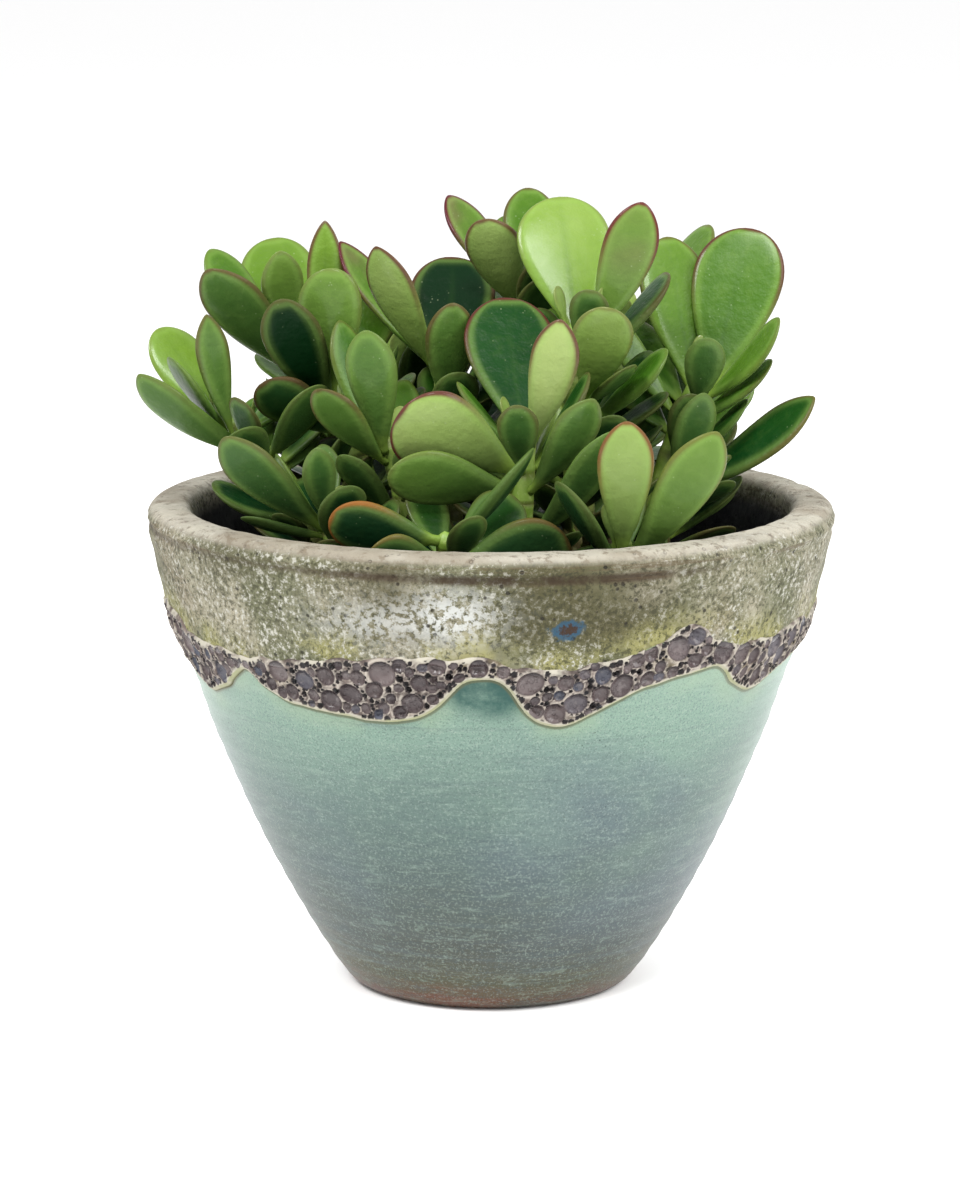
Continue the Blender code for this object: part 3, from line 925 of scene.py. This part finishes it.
bark = Recipe("jade_stem", Coat_Weight=0.05, Coat_Roughness=0.3)
height_share = bark.attribute("height")
cork = bark.noise(160, 4, 0.65)
fresh = bark.mix(cork.step(0.35, 0.7), paint(128, 166, 52), paint(158, 186, 84))
old = bark.mix(cork.step(0.35, 0.65), paint(92, 84, 48), paint(134, 118, 78))
young = height_share + (cork - 0.5) * 0.25
stem_colour = bark.mix(young.step(0.10, 0.55), old, fresh)
stem_colour = bark.layers(
    stem_colour,
    (bark.attribute("scar") * 0.7, 104, 92, 48),
    (bark.noise(700, 2, 0.6).step(0.55, 0.7) * 0.3, 196, 206, 140),
)
stem_relief = cork + bark.attribute("scar") * -0.8
stem_finish = bark.finish(stem_colour, 0.5 + (cork - 0.5) * 0.3, stem_relief, 0.5 * MM, 0.8)

# A stem starts below the soil, swells a little at each scar and narrows under its bud.
stem_rows = 46
scar_spacing = 8.5 * MM
root_depth = 10 * MM
for shoot in shoots:
    shares = np.linspace(0, 1, stem_rows)
    middle = np.array([stem_at(shoot, s)[0] for s in shares])
    thick = np.array([stem_at(shoot, s)[2] for s in shares])
    run = np.concatenate([[0], np.cumsum(np.linalg.norm(np.diff(middle, axis=0), axis=1))])
    scar = np.zeros(stem_rows)
    for place in np.arange(4 * MM, run[-1], scar_spacing):
        thick = thick * (1 + 0.06 * hill(run, place, 1.8 * MM))
        scar += hill(run, place, 0.8 * MM)
    thick[-3:] *= np.array([0.96, 0.86, 0.66])
    foot = middle[0] - np.array([0, 0, root_depth])
    middle = np.vstack([foot, middle])
    thick = np.concatenate([[thick[0] * 1.05], thick])
    rows = tube_between(middle, thick, stem_sides)
    points, faces = [], []
    closed_rows(rows, foot, stem_lines[shoot][2], points, faces)
    heights = np.concatenate([np.repeat(np.concatenate([[0], shares]), stem_sides), [0, 1]])
    scars = np.concatenate([np.repeat(np.concatenate([[0], np.clip(scar, 0, 1)]), stem_sides), [0, 0]])
    stem = make_piece("stem_of_" + shoot, points, faces, stem_finish, {"height": heights, "scar": scars})
    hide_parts("stem_" + shoot)


# ==== Leaves =============================================================================
# The leaves stand in opposite pairs: thick, waxy, spoon-shaped blades on short stalks, fuller
# below than above. Strong light reddens their rims, and each has its own green, darkened as painted shade
# where the leaf sits in the clump's shade.

blade_rows, blade_sides = 25, 24
blade_shares = 1 - (1 - np.linspace(0, 1, blade_rows)) ** 1.7
stalk_shares = np.array([-1.0, -0.5])
half_turns = np.arange(blade_sides) * 2 * math.pi / blade_sides
leaf_rng = np.random.default_rng(21)
taken_points, taken_radii = [], []


def leaf_outline(share, point=0.0):
    """Half the width at a share of the length: 1 at the widest, narrow at the stalk, round at the tip
    where point is 0 and more pointed towards 1."""
    widest = 0.68
    share = np.asarray(share, float)
    below = 0.2 + 0.8 * np.sin(math.pi / 2 * (np.clip(share, 0, widest) / widest) ** 1.15)
    left_over = np.clip(1 - ((np.clip(share, widest, 1) - widest) / 0.32) ** 2, 0, 1)
    above = (1 - point) * np.sqrt(left_over) + point * left_over ** 0.85
    return np.where(share < widest, below, above)


class Shoot:
    """The leaves of one shoot, gathered into one mesh with the values that their paint needs."""

    def __init__(self):
        self.points, self.faces = [], []
        self.values = {key: [] for key in ("rim", "along", "upper", "tone", "blush", "amber", "across")}


def add_leaf(shoot, middle, side, length, width, look, stalk=2.9 * MM):
    """Lofts one leaf. middle(share) and side(share) give its midrib and the way across it."""
    tone, blush, amber = look
    spreads = ((-0.02, 0.07), (0.0, 0.016), (0, 6.28), (-0.05, 0.05))
    cup, wave, phase, skew = (leaf_rng.uniform(a, b) for a, b in spreads)
    swell = leaf_rng.uniform(0.85, 1.05)
    shares = np.concatenate([stalk_shares * stalk / length, blade_shares[:-1]])
    centre = np.array([middle(s) for s in shares])
    along = np.gradient(centre, shares, axis=0)
    along /= np.linalg.norm(along, axis=1)[:, None]
    across = np.array([side(s) for s in shares])
    across -= (across * along).sum(axis=1)[:, None] * along
    across /= np.linalg.norm(across, axis=1)[:, None]
    normal = np.cross(along, across)
    half = width / 2 * leaf_outline(shares, min(0.75, max(0.0, (0.52 - width / length) * 4)))
    grown = np.clip(shares, 0, 1)
    thick = min(0.25 * width, 4.8 * MM) * swell
    thick = thick * (0.60 + 0.40 * np.sin(math.pi * grown ** 0.8)) * np.sqrt(1 - grown ** 7)
    thick = np.maximum(thick, 0.05 * MM)
    c, s = np.cos(half_turns), np.sin(half_turns)
    lift = np.where(s > 0, 0.42, 0.58) * np.sign(s) * np.abs(s) ** 0.8
    body = thick[:, None] * lift[None]
    body += width * (cup * (c[None] ** 2 - 0.25) * np.sin(math.pi * grown[:, None]) ** 0.7)
    body += width * wave * np.sin(7 * grown[:, None] + phase + 1.5 * c[None]) * np.abs(c[None])
    sideways = half[:, None] * c[None] + width * skew * np.sin(math.pi * grown[:, None]) * grown[:, None]
    rows = centre[:, None] + sideways[..., None] * across[:, None] + body[..., None] * normal[:, None]
    tip = middle(1.0)
    closed_rows(rows, centre[0], tip, shoot.points, shoot.faces)
    inward = np.minimum(half[:, None] * (1 - np.abs(c))[None], ((1 - grown) * length)[:, None])
    keep = {
        "rim": np.exp(-inward / (1.25 * MM)),
        "along": np.repeat(grown[:, None], blade_sides, 1),
        "upper": np.repeat(soft(s, -0.25, 0.25)[None], len(shares), 0),
        "across": np.repeat(np.abs(c)[None], len(shares), 0),
    }
    for key, value in keep.items():
        shoot.values[key].extend([*value.ravel(), value[0, 0], value[-1, 0]])
    for key, value in (("tone", tone), ("blush", blush), ("amber", amber)):
        shoot.values[key].extend([value] * (rows.shape[0] * blade_sides + 2))
    take(*sampled(middle, side, length, width))


def sampled(middle, side, length, width):
    """Points about 3 mm apart on a leaf's middle sheet, with the half thickness there."""
    spots = []
    for share in np.linspace(0.06, 0.99, max(5, int(length / (3 * MM)))):
        half = width / 2 * float(leaf_outline(share))
        for offset in np.linspace(-half, half, max(2, int(2 * half / (3 * MM)) + 1)):
            spots.append(middle(share) + side(share) * offset)
    return np.array(spots), np.full(len(spots), min(0.1 * width, 2.0 * MM))


def take(points, radii):
    """Marks the room that something fills, so that no later leaf is set there."""
    taken_points.append(points)
    taken_radii.append(radii)


def clearance(points, radii):
    """The smallest gap between a planned leaf and all that stands already."""
    others = np.concatenate(taken_points)
    reach = np.concatenate(taken_radii)
    middle = points.mean(axis=0)
    near = np.linalg.norm(others - middle, axis=1) < 45 * MM
    if not near.any():
        return 20 * MM
    gaps = np.linalg.norm(points[:, None] - others[near][None], axis=2) - reach[near][None] - radii[:, None]
    return float(gaps.min())


def planned_leaf(shoot, share, heading, rise, length, width, roll, bend):
    """The midrib and the way across for a leaf set on a stem, sizes in mm and angles in degrees."""
    start, _, thick = stem_at(shoot, share)
    heading, rise, roll, bend = (math.radians(v) for v in (heading, rise, roll, bend))
    outward = np.array([math.cos(heading), math.sin(heading), 0.0])
    left = np.array([-math.sin(heading), math.cos(heading), 0.0])
    base = start + outward * (thick + 1.4 * MM)
    up_way = np.array([0.0, 0.0, 1.0])
    steps = np.linspace(-0.15, 1.0, 60)
    angles_here = rise + bend * (steps - 0.5)
    ways = np.cos(angles_here)[:, None] * outward + np.sin(angles_here)[:, None] * up_way
    line = np.cumsum(ways * (steps[1] - steps[0]) * length * MM, axis=0)
    line += base - np.array([np.interp(0.0, steps, line[:, i]) for i in range(3)])
    fits = np.polyfit(steps, line, 3)

    def middle(s):
        return np.array([s ** 3, s ** 2, s, 1.0]) @ fits

    def side(s):
        angle = rise + bend * (s - 0.5)
        face = math.cos(angle) * up_way - math.sin(angle) * outward
        return math.cos(roll) * left + math.sin(roll) * face

    return middle, side, length * MM, width * MM


ring_places = np.array([0.0, 0.03, 0.14, 0.30, 0.48, 0.68, 0.86, 0.96, 1.0])


def cad_leaf(node):
    """The midrib and the way across of a leaf that the CAD model holds, from its rings, which stand
    at the shares of its length that ring_places gives."""
    rings = rings_of(node, 6)
    widths = [max(np.linalg.norm(a - b) for a in ring for b in ring) for ring in rings[1:-1]]
    if widths[0] > widths[-1]:
        rings.reverse()
        widths.reverse()
    spine, sides = [rings[0][0]], []
    for ring in rings[1:-1]:
        apart = np.linalg.norm(ring[:, None] - ring[None], axis=2)
        a, b = np.unravel_index(int(apart.argmax()), apart.shape)
        spine.append((ring[a] + ring[b]) / 2)
        way = ring[b] - ring[a]
        rest = np.array([p for i, p in enumerate(ring) if i not in (a, b)]) - spine[-1]
        sides.append((way / np.linalg.norm(way), rest.mean(axis=0)))
    spine.append(rings[-1][0])
    fits = np.polyfit(ring_places, np.array(spine), 3)
    along = spine[-1] - spine[0]
    first_side, below = sides[4]
    if np.dot(np.cross(along, first_side), below) > 0:
        first_side = -first_side
    aligned = np.array([way if np.dot(way, first_side) > 0 else -way for way, _ in sides])
    side_fits = np.polyfit(ring_places[1:-1], aligned, 2)

    def middle(s):
        return np.array([s ** 3, s ** 2, s, 1.0]) @ fits

    def side(s):
        s = min(max(s, 0.0), 1.0)
        way = np.array([s ** 2, s, 1.0]) @ side_fits
        return way / np.linalg.norm(way)

    return middle, side, float(np.linalg.norm(along)), float(max(widths))


# How each leaf of the CAD model looks: its green from 0, dark, to 1, lime, darker where the leaf
# sits in shade, as painted shade; how red its rim is; and how amber that rim is.
leaf_looks = {
    "far_left": [(.45, .3, 0), (.72, .2, 0), (.5, .6, 0), (.22, .2, 0)],
    "left_back": [(.62, .3, 0), (.42, .7, 0), (.66, .3, 0)],
    "left": [(-.05, .4, 0), (.14, .7, 0), (.70, .85, 0), (.64, .3, 0)],
    "middle_left": [(.52, .7, 0), (.42, .4, 0), (.5, .2, 0)],
    "low_left": [(.34, .5, 0), (.34, .2, 0)],
    "front": [(.06, .9, .8), (.20, .6, .3), (.25, .5, .5)],
    "middle": [(.84, .9, 0), (-.08, .8, 0), (.5, .7, 0)],
    "back": [(.55, 1, 0), (.88, .85, 0), (.5, .7, 0)],
    "centre": [(.76, .25, 0), (.66, 1, .1), (.80, .5, 0)],
    "front_centre": [(.14, .9, 0), (1., .9, 0), (.88, .95, 0), (.45, .3, 0)],
    "front_right": [(.84, .9, .3), (.66, .5, .1)],
    "right": [(.50, .9, 0), (.58, .6, 0), (.55, .3, 0), (.34, .2, 0), (.5, .2, 0), (.16, .5, .2)],
    "back_left": [(.5, .5, 0), (.4, .4, 0)],
    "back_right": [(.55, .5, 0), (.45, .4, 0)],
}
# Smaller leaves between the main ones, as (share of the stem, heading, rise, length, width, roll,
# bend) in degrees and mm, and the look.
small_leaves = {
    "far_left": [
        ((1.0, 134, 47, 34, 13, -25, 10), (.5, .3, 0)), ((.70, 60, 35, 18, 9, 20, 8), (.3, .2, 0)),
        ((.77, 104, 40, 24, 11, -20, 8), (.35, .2, 0)),
    ],
    "left_back": [
        ((.97, 162, 51, 36, 15, -30, 10), (.5, .2, 0)), ((.92, 190, 39, 34, 14, -30, 10), (.3, .3, 0)),
        ((.75, 150, 30, 22, 9, -10, 8), (.4, .2, 0)),
    ],
    "left": [
        ((.97, 60, 70, 46, 15, 20, 8), (.5, 1, 0)),
    ],
    "middle_left": [
        ((.9, 79, 50, 32, 12, 20, 10), (.5, .3, 0)), ((.67, 285, 44, 22, 9, -15, 8), (.4, .1, 0)),
        ((.55, 215, 45, 26, 11, 30, 8), (.3, .2, 0)),
    ],
    "low_left": [
        ((.8, 180, 20, 26, 10, 30, 6), (.2, .1, 0)), ((.9, 99, 60, 24, 10, -10, 8), (.3, .2, 0)),
    ],
    "front": [
        ((.8, 255, 20, 26, 20, 5, 6), (.2, .7, .4)), ((.9, 190, 30, 28, 17, 50, 6), (.4, .3, 0)),
        ((.85, 20, 25, 26, 17, 30, 6), (.28, .3, .1)),
    ],
    "middle": [
        ((.99, 168, 52, 44, 13, -30, 10), (.55, 1, 0)), ((.92, 205, 48, 40, 13, -30, 10), (.6, .3, 0)),
        ((.97, 150, 60, 34, 16, -15, 10), (.5, .6, 0)),
    ],
    "back": [
        ((.96, 120, 60, 36, 14, -10, 10), (.6, .3, 0)), ((.97, 60, 60, 40, 20, 10, 10), (.5, .5, 0)),
    ],
    "centre": [
        ((.64, 330, 42, 32, 14, 40, 10), (.4, .2, 0)), ((.5, 10, 12, 28, 18, 60, 8), (.35, .2, 0)),
    ],
    "front_centre": [
        ((.72, 200, 22, 40, 18, 55, 8), (.6, .3, 0)), ((.98, 290, 70, 18, 9, 0, 6), (.45, .9, .2)),
        ((.77, 62, 40, 28, 13, 30, 10), (.8, .2, 0)), ((.45, 340, 60, 44, 12, -40, 20), (.4, .1, 0)),
    ],
    "front_right": [
        ((.5, 350, 10, 30, 9, 20, 6), (.4, 1, .2)),
    ],
    "right": [
        ((.92, 124, 51, 38, 13, -30, 10), (.45, .4, 0)), ((.88, 140, 62, 36, 10, -30, 8), (.5, .2, 0)),
        ((.76, 58, 35, 26, 11, 25, 8), (.45, .2, 0)),
    ],
}

# The leaves' wax: greens by tone and painted shade, paler backs, a darker midrib, flushed rims,
# painted shade low in the clump and inside the crown, and pale stalks.
wax = Recipe("jade_leaf", Coat_Roughness=0.16, IOR=1.4, Specular_IOR_Level=0.12)
tone = wax.attribute("tone")
rim = wax.attribute("rim")
upper = wax.attribute("upper")
blush = wax.attribute("blush")
tipward = wax.attribute("along")
cloudy = wax.noise(55, 3, 0.55)
streak = wax.noise(320, 3, 0.6)
# Each leaf's green follows its tone, which also carries painted shade: leaves in shade are given darker
# tones, and each leaf turns a little darker towards its stalk, as painted shade.
greens = wax.node("ShaderNodeValToRGB", {"stops": (
    (0.0, paint(2, 42, 14)), (0.15, paint(18, 66, 20)), (0.35, paint(46, 94, 18)),
    (0.55, paint(78, 120, 24)), (0.75, paint(114, 151, 42)), (1.0, paint(184, 206, 118)),
)}, {"Fac": tone + (cloudy - 0.5) * 0.13 + (tipward - 0.5) * 0.07})["Color"]
green = wax.mix(streak.step(0.45, 0.75) * (tone * 0.20 + 0.01), greens, paint(146, 176, 84))
backs = wax.mix(tone.step(-0.10, 0.45) * 0.24, green, paint(104, 124, 88))
leaf_colour = wax.mix(upper, backs, green)
midrib = wax.attribute("across").step(0.14, 0.0) * (1.0 - tipward) * upper
flush = blush.step(0.90, 1.0) * tipward.step(0.30, 1.0) * wax.noise(60, 2, 0.5).step(0.36, 0.72)
# Leaves low in the clump and near the middle of the crown are painted darker: painted shade.
where = wax.node("ShaderNodeSeparateXYZ", {}, {"Vector": wax.place()})
low_leaf_shade = where["Z"].step(0.178, 0.128)
from_axis = where["X"] * where["X"] + where["Y"] * where["Y"]
crown_core_shade = from_axis.step(0.0042, 0.0012) * where["Z"].step(0.188, 0.150)
dots = wax.cells(560).step(0.17, 0.08) * wax.noise(120).step(0.50, 0.62)
leaf_colour = wax.layers(
    leaf_colour,
    (midrib * 0.35, 56, 92, 34),
    (flush * 0.60, 124, 84, 80),
    (low_leaf_shade * 0.52, 10, 44, 34),
    (crown_core_shade * 0.62, 8, 34, 22),
    (dots * 0.28, 190, 206, 160),
)
edge_red = wax.mix(wax.attribute("amber"), paint(92, 28, 36), paint(164, 104, 44))
edge_mask = rim.step(0.20, 0.66) * tipward.step(0.20, 0.80) * (blush * 0.95 + 0.05)
leaf_colour = wax.mix(edge_mask, leaf_colour, edge_red)
glow = rim.step(0.02, 0.25) * (1.0 - edge_mask) * 0.28
base_pale = tipward.step(0.16, 0.0)
leaf_colour = wax.layers(
    leaf_colour,
    (glow, 150, 186, 92),
    (base_pale * 0.7, 146, 176, 72),
)
leaf_roughness = 0.28 + cloudy * 0.14 + (1.0 - upper) * 0.08
leaf_relief = wax.noise(190, 3, 0.6) + wax.noise(430, 3, 0.6) * 0.40
leaf_gloss = tone.step(0.0, 0.6) * (cloudy.step(0.40, 0.62) * 0.12 + 0.08) + 0.02
leaf_gloss = leaf_gloss + tone.step(0.5, 0.9) * upper * 0.16
leaf_finish = wax.finish(leaf_colour, leaf_roughness, leaf_relief, 0.55 * MM, 0.8, leaf_gloss)

# The stems and the CAD model's leaves stand first, and every other leaf has to clear them.
room_low, room_high = (np.array(corner) for corner in cad_box)
inner_wall = 0.084
for shoot in shoots:
    for share in np.linspace(0, 1, 16):
        spot, _, thick = stem_at(shoot, share)
        take(spot[None], np.array([thick]))
groups = {shoot: Shoot() for shoot in shoots}
cad_leaves = {}
for shoot in shoots:
    cad_leaves[shoot] = [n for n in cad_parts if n.rsplit("_", 1)[0] == "leaf_" + shoot]
    cad_leaves[shoot].sort(key=lambda n: int(n.rsplit("_", 1)[1]))
    for node, look in zip(cad_leaves[shoot], leaf_looks[shoot]):
        add_leaf(groups[shoot], *cad_leaf(node), look)


def fits_room(points):
    """True if a planned leaf stays in the plant's box and clear of the pot's wall and the soil."""
    inside_box = (points > room_low + 1 * MM).all() and (points < room_high - 1 * MM).all()
    radius = np.hypot(points[:, 0], points[:, 1])
    in_pot = points[:, 2] < rim_top + 3 * MM
    clears_soil = (points[:, 2] > soil_edge + 4 * MM).all()
    return bool(inside_box and clears_soil and (radius[in_pot] < inner_wall).all())


def try_leaf(shoot, nominal, look, tries, spread, least):
    """Sets a leaf where it was planned, or turned a little until it clears its neighbours; it is left
    out where nothing fits."""
    best, best_gap = None, -1.0
    for attempt in range(tries):
        share, heading, rise, length, width, roll, bend = nominal
        if attempt:
            share = min(1.0, max(0.12, share + leaf_rng.uniform(-0.06, 0.06) * spread))
            heading += leaf_rng.uniform(-16, 16) * spread
            rise += leaf_rng.uniform(-12, 12) * spread
            roll += leaf_rng.uniform(-15, 15) * spread
            length *= leaf_rng.uniform(0.86, 1.0)
        plan = planned_leaf(shoot, share, heading, rise, length, width, roll, bend)
        points, radii = sampled(*plan)
        if not fits_room(points):
            continue
        gap = clearance(points[len(points) // 6:], radii[len(points) // 6:])
        if gap > least:
            best, best_gap = plan, gap
            break
        if gap > best_gap:
            best, best_gap = plan, gap
    if best is not None and best_gap > least * 0.2:
        add_leaf(groups[shoot], *best, look)


for shoot, plans in small_leaves.items():
    for nominal, look in plans:
        try_leaf(shoot, nominal, look, 40, 1.0, 0.5 * MM)

# Below its main leaves a shoot carries a crossed pair of leaves every 6 mm, flatter further
# down, then smaller ones between the pairs where there is room, and, except on the front shoot, a bud at
# its end.
for shoot in shoots:
    turn = leaf_rng.uniform(0, 180)
    foot, _, _ = stem_at(shoot, 0.0)
    reach_mm = 1000 * float(np.linalg.norm(stem_at(shoot, 1.0)[0] - foot))
    levels = np.arange(0.93, 0.10, -6.0 / reach_mm)
    for k, share in enumerate(levels):
        for half in (0, 180):
            heading = turn + 90 * k + half
            size = leaf_rng.uniform(0.75, 1.1)
            rise = 50 - 28 * (1 - share) + leaf_rng.uniform(-6, 6)
            nominal = (share, heading, rise, 31 * size, 15 * size, leaf_rng.uniform(-15, 15), 12)
            # Leaves lower on the stem get darker greens: painted shade.
            look = (leaf_rng.uniform(0.08, 0.50) * (0.5 + 0.5 * share), leaf_rng.uniform(0.1, 0.6), 0.0)
            try_leaf(shoot, nominal, look, 20, 1.4, 0.25 * MM)
    for share in levels[1::2]:
        for heading in (turn + 45, turn + 135, turn + 225, turn + 315):
            nominal = (share - 0.02, heading, 34 + 22 * share, 26, 12, leaf_rng.uniform(-20, 20), 12)
            # The smaller leaves between the pairs get dark greens: painted shade inside the clump.
            look = (leaf_rng.uniform(0.05, 0.35), leaf_rng.uniform(0.1, 0.5), 0.0)
            try_leaf(shoot, nominal, look, 6, 1.4, 0.15 * MM)
    turn = leaf_rng.uniform(0, 180)
    if shoot == "front":
        continue
    for half in (0, 180):
        bud = (0.995, turn + half, 74, leaf_rng.uniform(9, 13), 5.5, 0, 8)
        add_leaf(groups[shoot], *planned_leaf(shoot, *bud), (0.85, 0.3, 0.0), 3.5 * MM)

for shoot in shoots:
    group = groups[shoot]
    leaves = make_piece("leaves_of_" + shoot, group.points, group.faces, leaf_finish, group.values)
    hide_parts(*cad_leaves[shoot])


# ==== Floor, light and view ==============================================================
# The plant stands alone on a plain white sweep under large soft lights, seen from the front
# and a little above.

backdrop = bpy.data.materials.new("sweep")
backdrop.use_nodes = True
paper = backdrop.node_tree.nodes["Principled BSDF"]
paper.inputs["Base Color"].default_value = (0.97, 0.97, 0.97, 1.0)
paper.inputs["Roughness"].default_value = 0.9
bpy.ops.mesh.primitive_plane_add(size=40.0, location=(0, 0, -0.0005))
sweep = bpy.context.object
sweep.name = "floor"
sweep.data.materials.append(backdrop)
sweep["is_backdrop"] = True

world = bpy.data.worlds.new("studio")
bpy.context.scene.world = world
world.use_nodes = True
sky = world.node_tree.nodes["Background"]
sky.inputs["Color"].default_value = (1.0, 1.0, 1.0, 1.0)
sky.inputs["Strength"].default_value = 1.0

for name, place, size, power in (
    ("left", (-0.85, -0.65, 1.30), 0.5, 23.0),
    ("right", (1.05, -0.60, 1.00), 0.8, 18.0),
    ("front", (0.12, -0.95, 1.28), 0.32, 11.0),
    ("top", (0.3, 0.7, 1.3), 1.2, 4.0),
):
    lamp = bpy.data.lights.new(name, "AREA")
    lamp.size = size
    lamp.energy = power
    holder = bpy.data.objects.new(name, lamp)
    holder.location = place
    aim = Vector((0, 0, 0.11)) - Vector(place)
    holder.rotation_euler = aim.to_track_quat("-Z", "Y").to_euler()
    bpy.context.scene.collection.objects.link(holder)

lens = bpy.data.cameras.new("camera")
lens.sensor_width = 36.0
lens.lens = 131.52
camera = bpy.data.objects.new("camera", lens)
camera.location = (-0.00308, -1.2908, 0.3572)
looks_down = 10.627
camera.rotation_euler = (math.radians(90 - looks_down), 0, 0)
bpy.context.scene.collection.objects.link(camera)
bpy.context.scene.camera = camera
bpy.context.scene.view_settings.view_transform = "Standard"

low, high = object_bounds()
